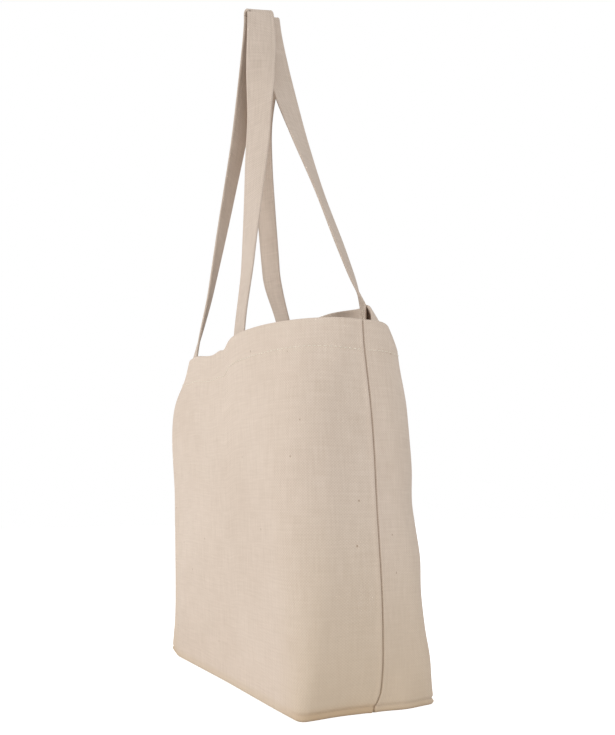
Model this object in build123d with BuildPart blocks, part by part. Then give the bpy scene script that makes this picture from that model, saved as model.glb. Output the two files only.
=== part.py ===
from build123d import *
from math import atan2, cos, radians, sin
import os

# Open canvas tote bag with a boxed base, a turned-in hem and two carrying handles.
# Millimetres, +Z up, +X to the right side seam, -Y to the front. The origin is in the middle of the base.

# Bag body
base_width = 348.0
base_depth = 132.0
base_corner = 12.0
bag_height = 358.0
rim_width = 368.0
rim_depth = 148.0
side_flat = 6.0
cloth = 1.2

# Hem and seams
hem_depth = 25.0
hem_layers = 2
rim_bevel = 0.7
seam_allowance = 10.0
stitch_inset = 3.0
thread_width = 0.9
thread_height = 0.5

# Handles
strap_width = 32.0
strap_thickness = 2.6
strap_spacing = 121.0
strap_margin = 4.0
handle_drop = 372.0
front_fold_y = -18.0
fold_shift = 14.0
fold_radius = 3.0
fold_gap = 3.0
turn_share = 0.9
swing_clearance = 0.5

# Sizes that follow from the ones above
hem_thickness = hem_layers * cloth
hem_bottom = bag_height - hem_depth
rim_flat = strap_spacing + strap_width + 2 * strap_margin
corner_ratio = (rim_width - rim_flat) / (rim_depth - side_flat)
hinge_y = rim_depth / 2 - hem_thickness / 2
hinge_z = bag_height - hem_thickness / 2
strap_y = hinge_y - hem_thickness / 2 - swing_clearance - strap_thickness / 2
end_length = hinge_z - hem_bottom
base_inside = base_width / 2 - cloth
flap_top = 3 * cloth
flap_length = base_depth / 2 - base_corner
allowance_foot = flap_top + 2 * thread_height
base_allowance_half = base_inside - seam_allowance - cloth

# Each rounded corner of the bag is made of this many flat faces
CORNER_FACES = 12


def between(base_value, rim_value, height):
    """A size of the bag at a height: it changes evenly from the base to the hem, then stays."""
    share = min(height / hem_bottom, 1.0)
    return base_value + (rim_value - base_value) * share


def half_width(height):
    return between(base_width / 2, rim_width / 2, height)


def half_points(height, inset, level=None):
    """Points round the front half of the bag's outline at a height, drawn in by inset, placed at level."""
    a = half_width(height) - inset
    b = between(base_depth / 2, rim_depth / 2, height) - inset
    ry = between(base_corner, rim_depth / 2 - side_flat / 2, height) - inset
    rx = ry * corner_ratio
    z = height if level is None else level
    turns = [radians(90 * step / CORNER_FACES) for step in range(CORNER_FACES + 1)]
    corner = [(a - rx + rx * cos(turn), ry - b - ry * sin(turn), z) for turn in turns]
    right = [(a, 0, z)] + corner
    return right + [(-x, y, z) for x, y, z in reversed(right)]


def half_outline(height, inset, level=None):
    """The same half of the outline as a face."""
    points = half_points(height, inset, level)
    with BuildSketch(Plane.XY.offset(points[0][2])) as outline:
        with BuildLine():
            Polyline(*[(x, y) for x, y, z in points], close=True)
        make_face()
    return outline.sketch


def side_strip(outer_inset, inner_inset):
    """A strip along the right side seam below the hem, between two insets from the wall's outside."""
    foot = half_width(allowance_foot)
    head = half_width(hem_bottom)
    with BuildSketch(Plane.XZ) as strip:
        with BuildLine():
            Polyline(
                (foot - outer_inset, allowance_foot),
                (head - outer_inset, hem_bottom),
                (head - inner_inset, hem_bottom),
                (foot - inner_inset, allowance_foot),
                close=True,
            )
        make_face()
    return strip.sketch


# Front panel: wall, half of each side, half of the base, the turned-in hem and the seam allowances
bevel_level = bag_height - rim_bevel
with BuildPart() as front_panel:
    ConvexPolyhedron(half_points(0, 0) + half_points(hem_bottom, 0))
    loft(
        sections=[
            half_outline(hem_bottom, 0),
            half_outline(bevel_level, 0),
            half_outline(bag_height, rim_bevel),
        ],
        ruled=True,
    )
    ConvexPolyhedron(
        half_points(0, cloth, cloth) + half_points(hem_bottom, cloth),
        mode=Mode.SUBTRACT,
    )
    loft(
        sections=[
            half_outline(hem_bottom, hem_thickness),
            half_outline(bevel_level, hem_thickness),
            half_outline(bag_height, hem_thickness - rim_bevel),
        ],
        ruled=True,
        mode=Mode.SUBTRACT,
    )
    side_allowance = side_strip(cloth / 2, cloth + seam_allowance)
    extrude(side_allowance, amount=cloth)
    extrude(mirror(side_allowance, about=Plane.YZ, mode=Mode.PRIVATE), amount=cloth)
    with Locations((0, -cloth / 2, cloth / 2)):
        Box(
            2 * base_allowance_half,
            cloth,
            cloth / 2 + seam_allowance,
            align=(Align.CENTER, Align.CENTER, Align.MIN),
        )
    for side in (-1, 1):
        with Locations((side * (base_inside - seam_allowance / 2), -flap_length / 2, cloth / 2)):
            Box(
                seam_allowance,
                flap_length,
                flap_top - cloth / 2,
                align=(Align.CENTER, Align.CENTER, Align.MIN),
            )

with BuildPart() as back_panel:
    mirror(front_panel.part, about=Plane.XZ)

# Hem thread: one row round the outside of the rim, a little above the hem's lower edge
thread_level = hem_bottom + stitch_inset
with BuildPart() as front_hem_thread:
    extrude(half_outline(hem_bottom, -thread_height, thread_level), amount=thread_width)
    extrude(half_outline(hem_bottom, 0, thread_level), amount=thread_width, mode=Mode.SUBTRACT)

with BuildPart() as back_hem_thread:
    mirror(front_hem_thread.part, about=Plane.XZ)

# Side seam threads: a row on each face of the turned-in edges
thread_near = cloth + stitch_inset
seam_row = side_strip(thread_near, thread_near + thread_width)
with BuildPart() as right_seam_thread:
    extrude(seam_row, amount=cloth + thread_height)
    extrude(seam_row, amount=cloth, mode=Mode.SUBTRACT)
    mirror(about=Plane.XZ)

with BuildPart() as left_seam_thread:
    mirror(right_seam_thread.part, about=Plane.YZ)

# Base seam thread: a row on each face of the edges that stand up from the middle of the base
with BuildPart() as base_seam_thread:
    with Locations((0, -cloth, cloth + stitch_inset)):
        Box(
            2 * base_allowance_half,
            thread_height,
            thread_width,
            align=(Align.CENTER, Align.MAX, Align.MIN),
        )
    mirror(about=Plane.XZ)

# Corner threads: a row on the flap that lies on the base, across the foot of each side seam
with BuildPart() as right_corner_thread:
    with Locations((base_inside - stitch_inset, 0, flap_top)):
        Box(
            thread_width,
            2 * (flap_length - stitch_inset),
            thread_height,
            align=(Align.CENTER, Align.CENTER, Align.MIN),
        )

with BuildPart() as left_corner_thread:
    mirror(right_corner_thread.part, about=Plane.YZ)

# Sewn ends of the straps, flat inside the hem, and the box of stitches on each
with BuildPart() as front_right_end:
    with Locations((strap_spacing / 2, -strap_y, hem_bottom)):
        Box(
            strap_width,
            strap_thickness,
            end_length,
            align=(Align.CENTER, Align.CENTER, Align.MIN),
        )

end_face = Plane.XZ.offset(strap_y - strap_thickness / 2)
with BuildPart() as front_right_end_thread:
    with BuildSketch(end_face) as stitch_box:
        with Locations((strap_spacing / 2, hem_bottom + end_length / 2)):
            Rectangle(strap_width - 2 * stitch_inset, end_length - 2 * stitch_inset)
            offset(amount=-thread_width, mode=Mode.SUBTRACT)
    extrude(amount=-thread_height)

with BuildPart() as front_left_end:
    mirror(front_right_end.part, about=Plane.YZ)

with BuildPart() as front_left_end_thread:
    mirror(front_right_end_thread.part, about=Plane.YZ)

with BuildPart() as back_right_end:
    mirror(front_right_end.part, about=Plane.XZ)

with BuildPart() as back_right_end_thread:
    mirror(front_right_end_thread.part, about=Plane.XZ)

with BuildPart() as back_left_end:
    mirror(front_left_end.part, about=Plane.XZ)

with BuildPart() as back_left_end_thread:
    mirror(front_left_end_thread.part, about=Plane.XZ)

# Handles: flat straps that rise from the rim, turn a quarter and fold over, one above the other.
# The front strap's fold lies over the back strap's, far enough off for the back one to swing out.
LEG_STEPS = 10
FOLD_STEPS = 6
outer_fold = fold_radius + strap_thickness + fold_gap
front_crown = Vector(0, front_fold_y, bag_height + handle_drop)
back_crown = front_crown + Vector(0, fold_shift, -strap_thickness - fold_gap)
back_tilt = atan2(hinge_y - back_crown.Y, back_crown.Z - hinge_z)
front_tilt = back_tilt / 2


def leg_point(root, top, rise, share):
    """A point on a leg and its direction there: the leg sets out straight for its top and arrives along rise."""
    chord = top - root
    arrive = rise * chord.length
    point = root + chord * (share + share**2 - share**3) + arrive * (share**3 - share**2)
    direction = chord * (1 + 2 * share - 3 * share**2) + arrive * (3 * share**2 - 2 * share)
    return point, direction.normalized()


def mirrored(plane):
    """The plane of the left leg that matches one of the right leg, with the strap running down."""
    place, across, along = plane.origin, plane.x_dir, plane.z_dir
    return Plane(
        (-place.X, place.Y, place.Z),
        x_dir=(-across.X, across.Y, across.Z),
        z_dir=(along.X, -along.Y, -along.Z),
    )


def strap_sections(root_y, crown, tilt, radius, turn):
    """Cross-sections of a strap from its right end over the fold to its left end."""
    sideways = Vector(1, 0, 0)
    rise = Vector(0, -sin(tilt), cos(tilt))
    centre = crown - rise * radius
    root = Vector(strap_spacing / 2, root_y, hinge_z)
    leg = [Plane(root, x_dir=sideways, z_dir=(0, 0, 1))]
    for step in range(1, LEG_STEPS + 1):
        share = step / LEG_STEPS
        point, along = leg_point(root, centre + sideways * radius, rise, share)
        level = Plane(point, x_dir=Vector(0, 1, 0).cross(along), z_dir=along)
        leg.append(level.rotated((0, 0, turn * 90 * min(share / turn_share, 1))))
    fold = []
    for step in range(1, FOLD_STEPS):
        angle = radians(180 * step / FOLD_STEPS)
        point = centre + sideways * (radius * cos(angle)) + rise * (radius * sin(angle))
        along = rise * cos(angle) - sideways * sin(angle)
        fold.append(Plane(point, x_dir=rise.cross(sideways) * turn, z_dir=along))
    sections = []
    for plane in leg + fold + [mirrored(plane) for plane in reversed(leg)]:
        with BuildSketch(plane) as section:
            Rectangle(strap_width, strap_thickness)
        sections.append(section.sketch)
    return sections


with BuildPart() as front_handle:
    loft(sections=strap_sections(-strap_y, front_crown, front_tilt, outer_fold, 1), ruled=True)

with BuildPart() as back_handle:
    loft(sections=strap_sections(strap_y, back_crown, back_tilt, fold_radius, -1), ruled=True)

pieces = {
    "front_panel": front_panel,
    "back_panel": back_panel,
    "front_hem_thread": front_hem_thread,
    "back_hem_thread": back_hem_thread,
    "right_seam_thread": right_seam_thread,
    "left_seam_thread": left_seam_thread,
    "base_seam_thread": base_seam_thread,
    "right_corner_thread": right_corner_thread,
    "left_corner_thread": left_corner_thread,
    "front_right_end": front_right_end,
    "front_left_end": front_left_end,
    "back_right_end": back_right_end,
    "back_left_end": back_left_end,
    "front_right_end_thread": front_right_end_thread,
    "front_left_end_thread": front_left_end_thread,
    "back_right_end_thread": back_right_end_thread,
    "back_left_end_thread": back_left_end_thread,
    "front_handle": front_handle,
    "back_handle": back_handle,
}

os.makedirs("parts", exist_ok=True)
for name, piece in pieces.items():
    piece.part.label = name
    export_step(piece.part, f"parts/{name}.step")
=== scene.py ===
import math

import bpy
import numpy as np
from mathutils import Matrix, Vector


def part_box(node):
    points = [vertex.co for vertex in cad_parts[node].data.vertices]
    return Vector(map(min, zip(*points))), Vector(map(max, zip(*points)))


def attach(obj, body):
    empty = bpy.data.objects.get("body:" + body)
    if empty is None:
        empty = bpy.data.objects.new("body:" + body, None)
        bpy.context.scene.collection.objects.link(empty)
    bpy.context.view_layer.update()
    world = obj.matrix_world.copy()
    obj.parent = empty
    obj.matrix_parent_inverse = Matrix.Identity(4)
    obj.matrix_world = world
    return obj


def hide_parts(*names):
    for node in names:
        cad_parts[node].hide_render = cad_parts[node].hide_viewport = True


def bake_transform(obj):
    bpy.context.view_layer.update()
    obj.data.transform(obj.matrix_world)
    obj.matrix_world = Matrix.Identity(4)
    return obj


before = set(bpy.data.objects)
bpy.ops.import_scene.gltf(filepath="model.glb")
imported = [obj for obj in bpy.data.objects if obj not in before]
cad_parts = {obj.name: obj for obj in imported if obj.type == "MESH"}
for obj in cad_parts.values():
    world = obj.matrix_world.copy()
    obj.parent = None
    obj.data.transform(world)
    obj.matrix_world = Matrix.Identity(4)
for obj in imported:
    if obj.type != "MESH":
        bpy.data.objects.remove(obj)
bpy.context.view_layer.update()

# A canvas tote bag: two sewn panels, their threads and two strap handles. Metres, +Z up, the front faces -Y.

# Sizes from the frame
RIM_EASE = 0.0045
panel_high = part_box("front_panel")[1]
end_low, end_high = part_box("front_right_end")
RIM_A = float(panel_high[0]) - RIM_EASE
STRAP_WIDTH = float(end_high[0] - end_low[0])
STRAP_THICK = float(end_high[1] - end_low[1])

# Cloth and sewing
BASE_A = 0.174
BASE_B = 0.066
BASE_FOLD = 0.003
CLOTH = 0.0011
HEM_THICK = 0.0024
HEM_DEPTH = 0.029
HEM_ROW = 0.0265
ALLOWANCE = 0.010
STITCH_PITCH = 0.0046
STITCH_LENGTH = 0.0032
THREAD_RADIUS = 0.0005
HALF_ROUND = 0.45

# Side seams, each a narrow groove with a ridge beside it, and the crease across the foot of each side
GROOVE_DEPTH = 0.0036
GROOVE_SPREAD = 0.00042
FRONT_RIDGE = 0.0007
BACK_RIDGE = 0.0002
RIDGE_FROM_SEAM = 0.0026
RIDGE_SPREAD = 0.0014
CREASE_DEPTH = 0.0018
CREASE_LEVEL = 0.0054
CREASE_SPREAD = 0.0012
CORNER_CURL = 0.006

# Rows of stitches: the box on each strap end, and the rows across the boxed corners and along the base
END_BOX_HALF = 0.012
END_BOX_TOP = 0.003
END_BOX_FOOT = 0.019
CORNER_ROW_X = 0.1715
CORNER_ROW_HALF = 0.045
CORNER_ROW_LEVEL = 0.009
BASE_ROW_HALF = 0.16
BASE_ROW_Y = -0.006
BASE_ROW_LEVEL = 0.0024
SEAM_ROW_DEPTH = 0.006


def smooth(x):
    x = np.clip(x, 0, 1)
    return x * x * (3 - 2 * x)


def hump(x, middle, spread):
    return np.exp(-(((x - middle) / spread) ** 2))


def through(keys, values, x):
    """A soft curve through values at keys."""
    keys = np.asarray(keys, float)
    values = np.asarray(values, float)
    slopes = np.gradient(values, keys)
    i = np.clip(np.searchsorted(keys, x) - 1, 0, len(keys) - 2)
    gap = keys[i + 1] - keys[i]
    t = np.clip((x - keys[i]) / gap, 0, 1)
    start = (2 * t**3 - 3 * t**2 + 1) * values[i] + (t**3 - 2 * t**2 + t) * gap * slopes[i]
    return start + (3 * t**2 - 2 * t**3) * values[i + 1] + (t**3 - t**2) * gap * slopes[i + 1]


def unit(vectors):
    return vectors / np.maximum(np.linalg.norm(vectors, axis=-1, keepdims=True), 1e-9)


def lengths_along(points):
    return np.concatenate([[0], np.cumsum(np.linalg.norm(np.diff(points, axis=0), axis=1))])


def new_piece(name, points, faces, uvs=None):
    mesh = bpy.data.meshes.new(name)
    mesh.from_pydata([tuple(p) for p in points], [], [tuple(f) for f in faces])
    mesh.polygons.foreach_set("use_smooth", [True] * len(mesh.polygons))
    if uvs is not None:
        layer = mesh.uv_layers.new(name="cloth")
        corners = np.zeros(len(mesh.loops), np.int32)
        mesh.loops.foreach_get("vertex_index", corners)
        layer.data.foreach_set("uv", np.asarray(uvs, np.float32)[corners].ravel())
    mesh.update()
    piece = bpy.data.objects.new(name, mesh)
    bpy.context.scene.collection.objects.link(piece)
    return piece


# The bag's outline at a height is a rectangle with elliptical corners. These are its half sizes and corner
# radii at shares of the height: the corners are crisp at the base and open out to an oval rim.
LEVELS = [0.0, 0.12, 0.3, 0.55, 0.8, 1.0]
HALF_A = [BASE_A, 0.1745, 0.176, 0.178, RIM_A, RIM_A]
HALF_B = [BASE_B, 0.0678, 0.0690, 0.0712, 0.0758, 0.078]
BACK_FULLER = [0.0046, 0.0002, -0.0004, 0, 0, 0]
FRONT_CORNER = ([0.009, 0.024, 0.036, 0.046, 0.052, 0.103], [0.008, 0.018, 0.028, 0.034, 0.039, 0.070])
BACK_CORNER = ([0.008, 0.014, 0.030, 0.058, 0.085, 0.103], [0.007, 0.011, 0.024, 0.043, 0.060, 0.070])
CORNER_STEPS = 40
BASE_ROWS = 14

# The rim by fraction of the way from the right seam to the left one: its height, and how far it is drawn in.
# The straps hold it up, most at the back, and the front rim dips beside its right strap.
FRONT_KEYS = [0, 0.05, 0.1, 0.2, 0.3, 0.365, 0.5, 0.635, 0.7, 0.8, 0.9, 0.95, 1]
FRONT_RIM = [0.342, 0.3425, 0.343, 0.344, 0.345, 0.3455, 0.337, 0.3445, 0.3445, 0.342, 0.338, 0.339, 0.342]
FRONT_DRAWN = [0, 0, 0, 0, 0, 0, 0.001, 0.001, 0.005, 0.031, 0.032, 0.018, 0]
BACK_KEYS = [0, 0.05, 0.1, 0.15, 0.2, 0.24, 0.3, 0.34, 0.385, 0.5, 0.6, 0.67, 0.8, 0.9, 0.95, 1]
BACK_RIM = [0.342, 0.3425, 0.341, 0.342, 0.349, 0.3655, 0.3825, 0.3885]
BACK_RIM += [0.3905, 0.3935, 0.386, 0.376, 0.358, 0.348, 0.345, 0.342]
BACK_DRAWN = [0, 0.0035, 0.0105, 0.021, 0.0325, 0.0255, 0.016, 0.0096]
BACK_DRAWN += [0.0025, 0.017, 0.0334, 0.0356, 0.042, 0.028, 0.016, 0]
DIP_DEPTH = 0.0045
DIP_AT = 0.432
DIP_SPREAD = 0.022

# The right of the back panel is a little uneven going up
BUMP_KEYS = [0, 0.09, 0.2, 0.29, 0.38, 0.45, 0.52, 0.62, 0.71, 0.82, 0.9, 1]
BUMPS = [0, 0.0024, -0.0006, -0.0012, 0.0012, -0.0004, -0.0022, 0.0004, 0, -0.001, -0.001, 0]

# The cloth has slid round the bag a little, so the side seams are not quite upright
SLIDE_KEYS = [0, 0.035, 0.08, 0.19, 0.3, 0.414, 0.52, 0.66, 0.75, 0.834, 0.94, 1]
SLIDE = [0.004, 0.0103, 0.0128, 0.0138, 0.0127, 0.0103, 0.0078, 0.0053, 0.003, 0, -0.004, -0.005]


def half_section(share, fractions, back, inset=0.0):
    """Points on half of an outline at fractions of the way from the right seam to the left one."""
    corner = BACK_CORNER if back else FRONT_CORNER
    a = through(LEVELS, HALF_A, share) - inset
    b = through(LEVELS, HALF_B, share) + through(LEVELS, BACK_FULLER, share) * back - inset
    rx = through(LEVELS, corner[0], share) - inset
    ry = through(LEVELS, corner[1], share) - inset
    turn = np.linspace(0, np.pi / 2, CORNER_STEPS)
    right = np.vstack([[a, 0.0], np.stack([a - rx + rx * np.cos(turn), b - ry + ry * np.sin(turn)], 1)])
    outline = np.vstack([right, right[::-1] * [-1, 1]])
    along = lengths_along(outline)
    x = np.interp(fractions * along[-1], along, outline[:, 0])
    y = np.interp(fractions * along[-1], along, outline[:, 1])
    slide = through(SLIDE_KEYS, SLIDE, share) * smooth(1 - fractions / 0.11)
    # the foot is not quite square: it spreads at the front right corner and on the right side behind the seam
    foot = 1 - smooth(share / 0.12)
    if back:
        x = x + 0.004 * foot * hump(y, 0.036, 0.02) * smooth((x - 0.14) / 0.02)
    else:
        y = y + 0.0028 * foot * smooth((x + 0.02) / 0.17) * smooth(y / 0.03)
        x = x - 0.002 * foot * hump(y, 0.03, 0.02) * smooth((x - 0.14) / 0.02)
    return np.stack([x, (y if back else -y) + slide], 1)


def wall_points(fractions, shares, back):
    """The outside of a panel's wall, as rows going up of points from the right seam to the left one."""
    keys = BACK_KEYS if back else FRONT_KEYS
    rim = through(keys, BACK_RIM if back else FRONT_RIM, fractions)
    if not back:
        rim = rim - DIP_DEPTH * hump(fractions, DIP_AT, DIP_SPREAD)
    drawn = through(keys, BACK_DRAWN if back else FRONT_DRAWN, fractions)
    rows = np.zeros((len(shares), len(fractions), 3))
    for row, share in zip(rows, shares):
        row[:, :2] = half_section(share, fractions, back)
        row[:, 2] = BASE_FOLD + (rim - BASE_FOLD) * share
    height = shares[:, None]
    inside = smooth(np.minimum(fractions, 1 - fractions) / 0.15)
    outward = 1 if back else -1
    soft = np.clip((height - 0.8) / 0.2, 0, 1) ** (1.6 if back else 3.4)
    if back:
        shoulder = 0.38 * smooth((height - 0.78) / 0.2) + 0.62 * np.clip((height - 0.94) / 0.06, 0, 1) ** 1.5
        soft = soft + (shoulder - soft) * smooth((0.5 - fractions) / 0.2)
        folds = 0.0013 * np.sin(height * 24 + 1.1) + 0.0008 * np.sin(height * 41 + fractions * 9)
        bumps = through(BUMP_KEYS, BUMPS, height)
        folds = folds + (bumps - folds) * smooth((0.5 - fractions) / 0.25)
    else:
        folds = 0.0009 * np.sin(fractions * 17 + height * 6 + 1)
        folds = folds + 0.0008 * np.sin(fractions * 29 - height * 9)
        folds = folds + 0.004 * np.sin(np.pi * height) ** 2 * np.sin(np.pi * fractions) ** 2
    rows[..., 1] -= outward * drawn * soft
    rows[..., 1] += outward * folds * inside * smooth(height / 0.15) * smooth((1 - height) / 0.12)
    return rows


def base_points(fractions, back):
    """The underside of a panel's half of the base, from its middle seam out to the foot of the wall."""
    middle = np.zeros((len(fractions), 3))
    middle[:, 0] = (1 - 2 * fractions) * (BASE_A - BASE_FOLD)
    edge = np.zeros_like(middle)
    edge[:, :2] = half_section(0, fractions, back, BASE_FOLD)
    rows = [middle + (edge - middle) * k for k in np.linspace(0, 1, BASE_ROWS)]
    for turn in np.linspace(0, np.pi / 2, 6)[1:-1]:
        fold = np.zeros_like(middle)
        fold[:, :2] = half_section(0, fractions, back, BASE_FOLD * (1 - math.sin(turn)))
        fold[:, 2] = BASE_FOLD * (1 - math.cos(turn))
        rows.append(fold)
    return np.array(rows)


SEAM_COLUMNS = np.array([0, 0.0009, 0.0018, 0.003, 0.005, 0.008, 0.0105])
FRACTIONS = np.concatenate([SEAM_COLUMNS, np.linspace(0.0135, 0.9865, 150), 1 - SEAM_COLUMNS[::-1]])
SHARES = np.concatenate(
    [np.linspace(0, 0.045, 13)[:-1], np.linspace(0.045, 0.92, 78)[:-1], np.linspace(0.92, 1, 20)]
)


def panel_surface(back):
    """The outside of a panel with its inward directions, from the middle of the base up to the rim."""
    outside = np.concatenate([base_points(FRACTIONS, back), wall_points(FRACTIONS, SHARES, back)])
    inward = unit(np.cross(np.gradient(outside, axis=1), np.gradient(outside, axis=0))) * (-1 if back else 1)
    inward[:BASE_ROWS] = [0, 0, 1]
    # each side seam is a narrow groove, with a ridge beside it, most on the front panel
    from_seam = np.minimum(FRACTIONS, 1 - FRACTIONS)
    beside = from_seam * HALF_ROUND
    ridge = BACK_RIDGE if back else FRONT_RIDGE
    groove = GROOVE_DEPTH * hump(beside, 0, GROOVE_SPREAD)
    groove = groove - ridge * hump(beside, RIDGE_FROM_SEAM, RIDGE_SPREAD)
    # a crease runs a little above the floor across the foot of each side
    level = outside[..., 2]
    across = smooth((0.17 - from_seam) / 0.03) * smooth(level / 0.002)
    crease = CREASE_DEPTH * hump(level, CREASE_LEVEL, CREASE_SPREAD) * across
    crease = crease - 0.0002 * hump(level, 0.0022, 0.002) * across
    outside = outside + inward * (groove[None, :, None] + crease[..., None])
    outside[..., 2] = np.maximum(outside[..., 2], 0)
    # the far left corner curls up from the floor
    curl = smooth((-0.145 - outside[..., 0]) / 0.03) * (1 - smooth(level / 0.04))
    outside[..., 2] += CORNER_CURL * curl
    return outside, inward


SURFACES = {back: panel_surface(back) for back in (False, True)}


def make_panel(name, back):
    outside, inward = SURFACES[back]
    up = lengths_along(outside[:, len(FRACTIONS) // 2])
    in_hem = smooth((up - (up[-1] - HEM_DEPTH)) / 0.0015)
    inside = outside + inward * (CLOTH + (HEM_THICK - CLOTH) * in_hem)[:, None, None]
    lip = [
        outside[-1] + (inside[-1] - outside[-1]) * share + [0, 0, rise]
        for share, rise in ((0.15, 0.0007), (0.5, 0.0011), (0.85, 0.0007))
    ]
    loop = np.concatenate([outside, lip, inside[::-1]])
    rows, columns = loop.shape[:2]
    faces = []
    for r in range(rows):
        for c in range(columns - 1):
            a = r * columns + c
            b = (r + 1) % rows * columns + c
            faces.append((a, b, b + 1, a + 1))
    # the edges along the side seams
    for k in range(rows // 2):
        a = k * columns
        b = (rows - 1 - k) * columns
        faces.append((a, b, b - columns, a + columns))
        faces.append((a + columns - 1, a + 2 * columns - 1, b - 1, b + columns - 1))
    if back:
        faces = [face[::-1] for face in faces]
    v = np.concatenate([up, up[-1] + np.array([0.001, 0.002, 0.003]), 2 * up[-1] + 0.004 - up[::-1]])
    uvs = np.stack(np.broadcast_arrays(FRACTIONS[None, :] * HALF_ROUND, v[:, None]), 2).reshape(-1, 2)
    return new_piece(name, loop.reshape(-1, 3), faces, uvs)


def strips(name, runs):
    """Flat strips of cloth: each run is a list of rings of four points."""
    points, faces = [], []
    for rings in runs:
        first = len(points)
        points.extend(p for ring in rings for p in ring)
        for k in range(len(rings) - 1):
            for c in range(4):
                d = (c + 1) % 4
                a = first + 4 * k
                faces.append((a + c, a + d, a + 4 + d, a + 4 + c))
        faces.append((first + 3, first + 2, first + 1, first))
        faces.append(tuple(len(points) - 4 + c for c in range(4)))
    piece = new_piece(name, points, faces, [(p[0] + p[1], p[2] + p[1]) for p in points])
    piece.data.polygons.foreach_set("use_smooth", [False] * len(piece.data.polygons))
    return piece


def seam_edges(name, back):
    """The raw edges of a panel, turned in along its side seams and along the base's."""
    outside, inward = SURFACES[back]
    outward = 1 if back else -1
    runs = []
    for column, side in ((0, 1), (-1, -1)):
        rings = []
        for p in outside[BASE_ROWS + 6:-22:3, column]:
            profile = ((0.0020, 0.0001), (ALLOWANCE, 0.0001), (ALLOWANCE, CLOTH), (0.0020, CLOTH))
            rings.append([p + [-side * depth, outward * gap, 0] for depth, gap in profile])
        runs.append(rings)
    low, high = 0.0014, 0.0024
    runs.append(
        [
            [(x, 0.0003 * outward, low), (x, ALLOWANCE * outward, low)]
            + [(x, ALLOWANCE * outward, high), (x, 0.0003 * outward, high)]
            for x in (-0.162, 0.162)
        ]
    )
    return strips(name, runs)


def stitch_row(name, lines):
    """Stitches along lines, each given as points and the directions in which the thread stands proud."""
    ring = [(math.cos(t), math.sin(t)) for t in np.linspace(0, 2 * np.pi, 7)[:-1]]
    profile = ((-0.5, 0.35), (-0.3, 0.9), (0, 1.0), (0.3, 0.9), (0.5, 0.35))
    points, faces = [], []
    for line, proud in lines:
        along = lengths_along(line)

        def at(place, values):
            return np.array([np.interp(place, along, values[:, k]) for k in range(3)])

        for place in np.arange(STITCH_PITCH / 2, along[-1], STITCH_PITCH):
            centre = at(place, line)
            run = unit(at(place + 0.001, line) - at(place - 0.001, line))
            side = unit(np.cross(run, at(place, proud)))
            out = np.cross(side, run)
            first = len(points)
            for step, width in profile:
                middle = centre + run * step * STITCH_LENGTH + out * THREAD_RADIUS * (0.5 - 2.2 * step**2)
                for c, s in ring:
                    points.append(middle + (side * c + out * s * 0.9) * width * THREAD_RADIUS)
            for k in range(len(profile) - 1):
                for c in range(6):
                    a = first + 6 * k + c
                    b = first + 6 * k + (c + 1) % 6
                    faces.append((a, a + 6, b + 6, b))
            faces.append(tuple(first + c for c in range(6)))
            faces.append(tuple(len(points) - 1 - c for c in range(6)))
    return new_piece(name, points, faces)


def level_below_rim(back, column, depth):
    """A point on the outside of a panel at a depth below its rim, and the outward direction there."""
    outside, inward = SURFACES[back]
    down = lengths_along(outside[::-1, column])
    point = [np.interp(depth, down, outside[::-1, column, k]) for k in range(3)]
    out = [-np.interp(depth, down, inward[::-1, column, k]) for k in range(3)]
    return np.array(point), np.array(out)


def hem_line(back):
    """The row of stitches round a panel, just above the hem's turned-in edge."""
    row = [level_below_rim(back, column, HEM_ROW) for column in range(5, len(FRACTIONS) - 5)]
    return np.array([p for p, _ in row]), np.array([n for _, n in row])


def seam_line(side):
    """The row of stitches down a side seam, on the turned-in edge of the front panel."""
    line = SURFACES[False][0][BASE_ROWS + 8:-24, 0 if side > 0 else -1] + [-side * SEAM_ROW_DEPTH, -CLOTH, 0]
    return line, np.broadcast_to([0.0, -1.0, 0.0], line.shape)


def straight_line(start, end, out):
    line = np.linspace(start, end, 40)
    return line, np.broadcast_to(np.array(out, float), line.shape)


def end_box(back, root, turn):
    """The crossed box of stitches that holds a strap's end to the hem, on the inside."""
    width = np.array([math.cos(math.radians(turn)), math.sin(math.radians(turn)), 0])
    out = np.array([width[1], -width[0], 0]) * (1 if back else -1)
    face = np.array(root) + out * STRAP_THICK / 2
    half = END_BOX_HALF
    places = ((-half, END_BOX_TOP), (half, END_BOX_TOP), (half, END_BOX_FOOT), (-half, END_BOX_FOOT))
    corners = [face + width * x - [0, 0, depth] for x, depth in places]
    route = [0, 1, 2, 3, 0, 2, 3, 1]
    return [straight_line(corners[a], corners[b], out) for a, b in zip(route, route[1:])]


# Straps: each runs from inside the hem up its right leg, over the fold and down its left leg
LEG_STEPS = 120
FOLD_STEPS = 14
TAB = np.linspace(0.022, 0.002, 6)


def leg(root, top, rise, lean, bend):
    """A leg from root to top: it leans over along the way, bends near its foot and arrives along rise."""
    s = np.linspace(0, 1, LEG_STEPS)[:, None]
    chord = top - root
    arrive = rise * np.linalg.norm(chord)
    line = root + chord * s + (arrive - chord) * (s**16 - s**15) * 0.4
    sway = lean * 6.75 * s**2 * (1 - s) + bend * smooth(s / 0.22) * smooth((1 - s) / 0.4)
    return line + sway * [0, 1, 0]


def strap_path(crown, tilt, radius, right, left):
    rise = np.array([0.0, -math.sin(tilt), math.cos(tilt)])
    sideways = np.array([radius, 0.0, 0.0])
    centre = np.array(crown) - rise * radius
    legs = []
    for side, shape in ((1, right), (-1, left)):
        root = np.array(shape["root"])
        tab = [root - [0, 0, d] for d in TAB]
        legs.append(np.vstack([tab, leg(root, centre + side * sideways, rise, shape["lean"], shape["bend"])]))
    turns = np.linspace(0, np.pi, FOLD_STEPS + 1)[1:-1]
    fold = [centre + sideways * math.cos(t) + rise * radius * math.sin(t) for t in turns]
    return np.vstack([legs[0], fold, legs[1][::-1]])


TURN_KEYS = [0, 0.08, 0.18, 0.4, 0.55, 0.7, 0.85, 1]


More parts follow.
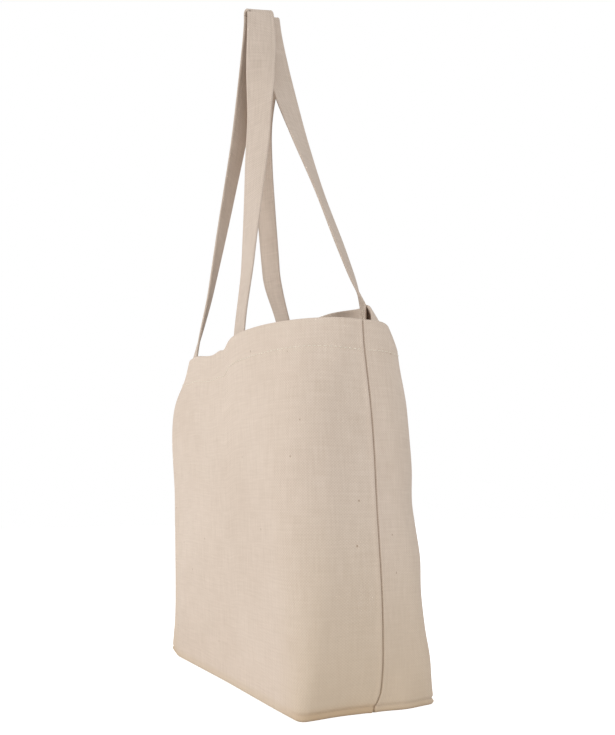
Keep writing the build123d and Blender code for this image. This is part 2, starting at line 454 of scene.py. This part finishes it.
def strap_turns(right, left):
    """Angles of the strap's width from X towards Y, all along it."""
    shares = np.linspace(0, 1, LEG_STEPS)
    first = np.concatenate([np.full(len(TAB), right[0]), through(TURN_KEYS, right, shares)])
    second = np.concatenate([np.full(len(TAB), left[0]), through(TURN_KEYS, left, shares)])
    second = second + (180 if right[-1] > 0 else -180)
    return np.radians(np.concatenate([first, np.full(FOLD_STEPS - 1, right[-1]), second[::-1]]))


def make_strap(name, path, turns, tilt):
    """A flat strap with folded edges, sewn along both sides."""
    along = unit(np.gradient(path, axis=0))
    width = np.stack([np.cos(turns), np.sin(turns) * math.cos(tilt), np.sin(turns) * math.sin(tilt)], 1)
    width = unit(width - along * np.sum(width * along, axis=1, keepdims=True))
    thick = np.cross(along, width)
    half = np.array([0, 0.25, 0.5, 0.72, 0.78, 0.84, 0.92, 0.97, 1])
    across = np.concatenate([-half[:0:-1], half])
    edge = np.abs(across)
    level = STRAP_THICK / 2 * (1 - 0.6 * smooth((edge - 0.93) / 0.07)) - 0.00035 * hump(edge, 0.78, 0.05)
    level = level - 0.0002 * (edge < 0.7)
    ring = np.concatenate([np.stack([across, level], 1), np.stack([across[::-1], -level[::-1]], 1)])
    loops = path[:, None] + width[:, None] * ring[:, :1] * STRAP_WIDTH / 2 + thick[:, None] * ring[:, 1:]
    rows, columns = loops.shape[:2]
    faces = []
    for r in range(rows - 1):
        for c in range(columns):
            d = (c + 1) % columns
            faces.append((r * columns + c, (r + 1) * columns + c, (r + 1) * columns + d, r * columns + d))
    faces.append(tuple(range(columns)))
    faces.append(tuple(rows * columns - 1 - c for c in range(columns)))
    u = np.concatenate([across, across[::-1] + 3]) * STRAP_WIDTH / 2
    uvs = np.stack(np.broadcast_arrays(u[None, :], lengths_along(path)[:, None]), 2).reshape(-1, 2)
    return new_piece(name, loops.reshape(-1, 3), faces, uvs)


# Materials


def linear(*levels):
    """A colour written in screen levels from 0 to 255."""
    return tuple(((c / 255 + 0.055) / 1.055) ** 2.4 for c in levels) + (1.0,)


def add_node(tree, kind, values=None, **settings):
    node = tree.nodes.new(kind)
    for key, value in settings.items():
        setattr(node, key, value)
    for key, value in (values or {}).items():
        node.inputs[key].default_value = value
    return node


def math_node(tree, operation, first, second):
    node = add_node(tree, "ShaderNodeMath", operation=operation)
    for socket, value in zip(node.inputs, (first, second)):
        if isinstance(value, (int, float)):
            socket.default_value = value
        else:
            tree.links.new(value, socket)
    return node.outputs[0]


def scaled(tree, uv, scale):
    place = add_node(tree, "ShaderNodeMapping", {"Scale": (*scale, 1)})
    tree.links.new(uv, place.inputs["Vector"])
    return place.outputs[0]


def stretched_noise(tree, uv, scale, detail=2.0):
    """Noise on the cloth whose grain has its own size along each thread direction."""
    noise = add_node(tree, "ShaderNodeTexNoise", {"Scale": 1.0, "Detail": detail, "Roughness": 0.6})
    tree.links.new(scaled(tree, uv, scale), noise.inputs["Vector"])
    return noise.outputs[0]


def cloth_material(name, pale, deep, thread, fleck_share, darkening_and_foot_shade_strength):
    """Unbleached plain weave: slubbed warp and weft, soft changes of tone and a few seed flecks."""
    material = bpy.data.materials.new(name)
    material.use_nodes = True
    tree = material.node_tree
    shader = tree.nodes["Principled BSDF"]
    shader.inputs["Roughness"].default_value = 0.92
    shader.inputs["Sheen Weight"].default_value = 0.08
    shader.inputs["Sheen Roughness"].default_value = 0.6
    shader.inputs["Specular IOR Level"].default_value = 0.2
    uv = add_node(tree, "ShaderNodeUVMap", uv_map="cloth").outputs[0]
    split = add_node(tree, "ShaderNodeSeparateXYZ")
    tree.links.new(uv, split.inputs[0])
    waves = []
    for axis in (0, 1):
        angle = math_node(tree, "MULTIPLY", split.outputs[axis], math.pi / thread)
        waves.append(math_node(tree, "SINE", angle, 0))
    weave = math_node(tree, "MULTIPLY", waves[0], waves[1])
    warp = stretched_noise(tree, uv, (520, 34))
    weft = stretched_noise(tree, uv, (34, 520))
    tone = stretched_noise(tree, uv, (7, 7), 4.0)
    warp_part = math_node(tree, "MULTIPLY", warp, 0.34)
    streaks = math_node(tree, "ADD", warp_part, math_node(tree, "MULTIPLY", weft, 0.3))
    shade = math_node(tree, "ADD", streaks, math_node(tree, "MULTIPLY", tone, 0.36))
    shade = math_node(tree, "ADD", shade, math_node(tree, "MULTIPLY", weave, 0.14))
    ramp = add_node(tree, "ShaderNodeValToRGB")
    ramp.color_ramp.elements[0].position = 0.3
    ramp.color_ramp.elements[0].color = deep
    ramp.color_ramp.elements[1].position = 0.75
    ramp.color_ramp.elements[1].color = pale
    tree.links.new(shade, ramp.inputs[0])
    cells = add_node(tree, "ShaderNodeTexVoronoi", {"Scale": 1.0, "Randomness": 1.0})
    tree.links.new(scaled(tree, uv, (70, 45)), cells.inputs["Vector"])
    spot = math_node(tree, "LESS_THAN", cells.outputs["Distance"], 0.05)
    chosen = add_node(tree, "ShaderNodeSeparateColor")
    tree.links.new(cells.outputs["Color"], chosen.inputs[0])
    spot = math_node(tree, "MULTIPLY", spot, math_node(tree, "LESS_THAN", chosen.outputs[0], fleck_share))
    fleck = add_node(tree, "ShaderNodeMix", data_type="RGBA")
    fleck.inputs["B"].default_value = linear(150, 120, 92)
    tree.links.new(math_node(tree, "MULTIPLY", spot, 0.6), fleck.inputs["Factor"])
    # the sides are darker and browner towards their foot, and a band along the edge of the base is painted
    # shade for the crease and contact along the foot, browner still at the sides
    aside = math_node(tree, "ABSOLUTE", math_node(tree, "SUBTRACT", split.outputs[0], HALF_ROUND / 2), 0)
    side = add_node(tree, "ShaderNodeMapRange", {"From Min": 0.125, "From Max": 0.175})
    foot = add_node(tree, "ShaderNodeMapRange", {"From Min": 0.26, "From Max": 0.07, "To Max": darkening_and_foot_shade_strength})
    # painted shade: a band over the base and the lowest few millimetres of the wall, standing in for the
    # shade in the crease along the foot
    edge = add_node(tree, "ShaderNodeMapRange", {"From Min": 0.076, "From Max": 0.068})
    edge.inputs["To Max"].default_value = 0.8 * darkening_and_foot_shade_strength
    tree.links.new(aside, side.inputs[0])
    tree.links.new(split.outputs[1], foot.inputs[0])
    tree.links.new(split.outputs[1], edge.inputs[0])
    low = math_node(tree, "MULTIPLY", side.outputs[0], foot.outputs[0])
    # the darker colour towards the foot of the sides, together with the painted shade of the foot band
    low_darkening_and_foot_shade = add_node(tree, "ShaderNodeMix", data_type="RGBA")
    low_darkening_and_foot_shade.inputs["B"].default_value = linear(206, 186, 158)
    tree.links.new(math_node(tree, "MAXIMUM", low, edge.outputs[0]), low_darkening_and_foot_shade.inputs["Factor"])
    tree.links.new(ramp.outputs[0], low_darkening_and_foot_shade.inputs["A"])
    # painted shade: the foot band made browner at the sides, standing in for the shade in the crease along
    # the foot of each side
    foot_shade_mix = add_node(tree, "ShaderNodeMix", data_type="RGBA")
    foot_shade_mix.inputs["B"].default_value = linear(196, 168, 134)
    foot_shade_factor = math_node(tree, "MULTIPLY", side.outputs[0], edge.outputs[0])
    tree.links.new(math_node(tree, "MULTIPLY", foot_shade_factor, 1.5), foot_shade_mix.inputs["Factor"])
    tree.links.new(low_darkening_and_foot_shade.outputs["Result"], foot_shade_mix.inputs["A"])
    tree.links.new(foot_shade_mix.outputs["Result"], fleck.inputs["A"])
    tree.links.new(fleck.outputs["Result"], shader.inputs["Base Color"])
    weave_part = math_node(tree, "MULTIPLY", weave, 0.5)
    height = math_node(tree, "ADD", weave_part, math_node(tree, "MULTIPLY", streaks, 0.8))
    bump = add_node(tree, "ShaderNodeBump", {"Strength": 0.35, "Distance": 0.0003})
    tree.links.new(height, bump.inputs["Height"])
    tree.links.new(bump.outputs[0], shader.inputs["Normal"])
    return material


def thread_material():
    """Pale cotton sewing thread with its ply."""
    material = bpy.data.materials.new("thread")
    material.use_nodes = True
    tree = material.node_tree
    shader = tree.nodes["Principled BSDF"]
    shader.inputs["Roughness"].default_value = 0.75
    where = add_node(tree, "ShaderNodeTexCoord").outputs["Object"]
    ply = add_node(tree, "ShaderNodeTexWave", {"Scale": 260.0, "Distortion": 1.0}, bands_direction="DIAGONAL")
    tree.links.new(where, ply.inputs["Vector"])
    ramp = add_node(tree, "ShaderNodeValToRGB")
    ramp.color_ramp.elements[0].color = linear(228, 216, 196)
    ramp.color_ramp.elements[1].color = linear(244, 236, 222)
    tree.links.new(ply.outputs["Fac"], ramp.inputs[0])
    tree.links.new(ramp.outputs[0], shader.inputs["Base Color"])
    bump = add_node(tree, "ShaderNodeBump", {"Strength": 0.4, "Distance": 0.0002})
    tree.links.new(ply.outputs["Fac"], bump.inputs["Height"])
    tree.links.new(bump.outputs[0], shader.inputs["Normal"])
    return material


# the last number sets how much the sides darken towards their foot and how strong the painted shade along the
# foot is
canvas = cloth_material("canvas", linear(229, 213, 198), linear(206, 188, 171), 0.0012, 0.36, 0.6)
webbing = cloth_material("strap", linear(226, 210, 196), linear(195, 178, 162), 0.0012, 0.06, 0.0)
cotton = thread_material()


def dress(piece, material):
    piece.data.materials.append(material)
    return piece


def on_bag(piece, material, slot, *nodes):
    dress(piece, material)
    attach(piece, "bag")
    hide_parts(*nodes)
    return piece


STRAPS = {
    "front": {
        "crown": (0.0008, -0.0235, 0.7285),
        "tilt": 0.21,
        "radius": 0.0050,
        "right": {"root": (0.0590, -0.0724, 0.346), "lean": 0.003, "bend": 0.0035},
        "left": {"root": (-0.0755, -0.0708, 0.342), "lean": 0.001, "bend": 0.004},
        "turns": ([-6, -6, -3, 12, 26, 34, 66, 90], [-12, -20, -26, -40, -47, -56, -68, -90]),
    },
    "back": {
        "crown": (0.0008, -0.0134, 0.7235),
        "tilt": 0.21,
        "radius": 0.0010,
        "right": {"root": (0.0670, 0.0664, 0.386), "lean": -0.0096, "bend": -0.0004},
        "left": {"root": (-0.0600, 0.0385, 0.374), "lean": -0.003, "bend": -0.0135},
        "turns": ([-24, -40, -46, -48, -60, -75, -85, -90], [3, 0, 9, 13, 17, 34, 82, 90]),
    },
}

# Panels with their turned-in edges and threads, all on the bag
for side in ("front", "back"):
    back = side == "back"
    panel = on_bag(make_panel(f"{side}_canvas", back), canvas, "canvas", f"{side}_panel")
    edges = dress(seam_edges(f"{side}_seam_edges", back), canvas)
    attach(edges, "bag")
    hem = on_bag(stitch_row(f"{side}_hem_stitches", [hem_line(back)]), cotton, "thread", f"{side}_hem_thread")
    for hand, turns in zip(("right", "left"), STRAPS[side]["turns"]):
        box = stitch_row(f"{side}_{hand}_end_stitches", end_box(back, STRAPS[side][hand]["root"], turns[0]))
        on_bag(box, cotton, "thread", f"{side}_{hand}_end_thread")
for hand, sign in (("right", 1), ("left", -1)):
    on_bag(stitch_row(f"{hand}_seam_stitches", [seam_line(sign)]), cotton, "thread", f"{hand}_seam_thread")
    start = (sign * CORNER_ROW_X, -CORNER_ROW_HALF, CORNER_ROW_LEVEL)
    end = (sign * CORNER_ROW_X, CORNER_ROW_HALF, CORNER_ROW_LEVEL)
    foot = straight_line(start, end, (-sign, 0, 0.3))
    on_bag(stitch_row(f"{hand}_corner_stitches", [foot]), cotton, "thread", f"{hand}_corner_thread")
start = (-BASE_ROW_HALF, BASE_ROW_Y, BASE_ROW_LEVEL)
end = (BASE_ROW_HALF, BASE_ROW_Y, BASE_ROW_LEVEL)
base_row = straight_line(start, end, (0, 0, 1))
on_bag(stitch_row("base_seam_stitches", [base_row]), cotton, "thread", "base_seam_thread")

# Straps, fixed to the bag at their ends and bending over the rim with their handles
for side, shape in STRAPS.items():
    path = strap_path(shape["crown"], shape["tilt"], shape["radius"], shape["right"], shape["left"])
    strap = make_strap(f"{side}_strap", path, strap_turns(*shape["turns"]), shape["tilt"])
    dress(strap, webbing)
    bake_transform(strap)
    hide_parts(f"{side}_handle", f"{side}_right_end", f"{side}_left_end")

# Floor: pale, and white to the camera, where it still keeps the shadow
floor = new_piece("floor", [(-6, -6, 0), (6, -6, 0), (6, 6, 0), (-6, 6, 0)], [(0, 1, 2, 3)])
floor_material = bpy.data.materials.new("floor")
floor_material.use_nodes = True
tree = floor_material.node_tree
paint = tree.nodes["Principled BSDF"]
paint.inputs["Base Color"].default_value = (0.8, 0.8, 0.8, 1)
paint.inputs["Roughness"].default_value = 0.9
glow = add_node(tree, "ShaderNodeEmission", {"Color": (1, 1, 1, 1), "Strength": 0.8})
both = add_node(tree, "ShaderNodeAddShader")
choice = add_node(tree, "ShaderNodeMixShader")
rays = add_node(tree, "ShaderNodeLightPath")
tree.links.new(paint.outputs[0], both.inputs[0])
tree.links.new(glow.outputs[0], both.inputs[1])
tree.links.new(rays.outputs["Is Camera Ray"], choice.inputs[0])
tree.links.new(paint.outputs[0], choice.inputs[1])
tree.links.new(both.outputs[0], choice.inputs[2])
tree.links.new(choice.outputs[0], tree.nodes["Material Output"].inputs[0])
floor.data.materials.append(floor_material)

# Light: a soft room, a broad lamp and a smaller low one in front, and a broad one from the right
world = bpy.data.worlds.new("studio")
bpy.context.scene.world = world
world.use_nodes = True
tree = world.node_tree
room = tree.nodes["Background"]
room.inputs["Color"].default_value = (1, 1, 1, 1)
room.inputs["Strength"].default_value = 0.58
seen = add_node(tree, "ShaderNodeBackground", {"Color": (1, 1, 1, 1), "Strength": 1.0})
rays = add_node(tree, "ShaderNodeLightPath")
choice = add_node(tree, "ShaderNodeMixShader")
tree.links.new(rays.outputs["Is Camera Ray"], choice.inputs[0])
tree.links.new(room.outputs[0], choice.inputs[1])
tree.links.new(seen.outputs[0], choice.inputs[2])
tree.links.new(choice.outputs[0], tree.nodes["World Output"].inputs[0])


def soft_lamp(name, place, aim, size, power):
    lamp_data = bpy.data.lights.new(name, "AREA")
    lamp_data.shape = "DISK"
    lamp_data.size = size
    lamp_data.energy = power
    lamp = bpy.data.objects.new(name, lamp_data)
    lamp.location = place
    lamp.rotation_euler = (Vector(aim) - Vector(place)).to_track_quat("-Z", "Y").to_euler()
    bpy.context.scene.collection.objects.link(lamp)


soft_lamp("key", (-1.4, -2.1, 0.75), (0, 0, 0.35), 1.4, 17.5)
soft_lamp("front", (0.6, -2.35, 0.28), (0, 0, 0.42), 0.5, 13.5)
soft_lamp("fill", (2.3, 0.4, 0.9), (0, 0, 0.35), 1.7, 13)

# Camera, with the photograph's frame of 615 by 735 pixels
FRAME_WIDTH = 615
FRAME_HEIGHT = 735
FOCAL_PIXELS = 776.5
CENTRE_PIXEL = (279.9, 450.2)
SENSOR = 36.0
AZIMUTH = math.radians(64.06)
PITCH = math.radians(4.07)
ROLL = math.radians(0.43)
DISTANCE = 0.8389
EYE_HEIGHT = 0.1794
lens = bpy.data.cameras.new("camera")
lens.sensor_width = SENSOR
lens.lens = FOCAL_PIXELS * SENSOR / FRAME_HEIGHT
lens.shift_x = (FRAME_WIDTH / 2 - CENTRE_PIXEL[0]) / FRAME_HEIGHT
lens.shift_y = (CENTRE_PIXEL[1] - FRAME_HEIGHT / 2) / FRAME_HEIGHT
camera = bpy.data.objects.new("camera", lens)
camera.location = (DISTANCE * math.sin(AZIMUTH), -DISTANCE * math.cos(AZIMUTH), EYE_HEIGHT)
turn = Matrix.Rotation(AZIMUTH, 4, "Z") @ Matrix.Rotation(math.pi / 2 + PITCH, 4, "X")
camera.rotation_euler = (turn @ Matrix.Rotation(-ROLL, 4, "Z")).to_euler()
bpy.context.scene.collection.objects.link(camera)
bpy.context.scene.camera = camera
bpy.context.scene.view_settings.view_transform = "Standard"
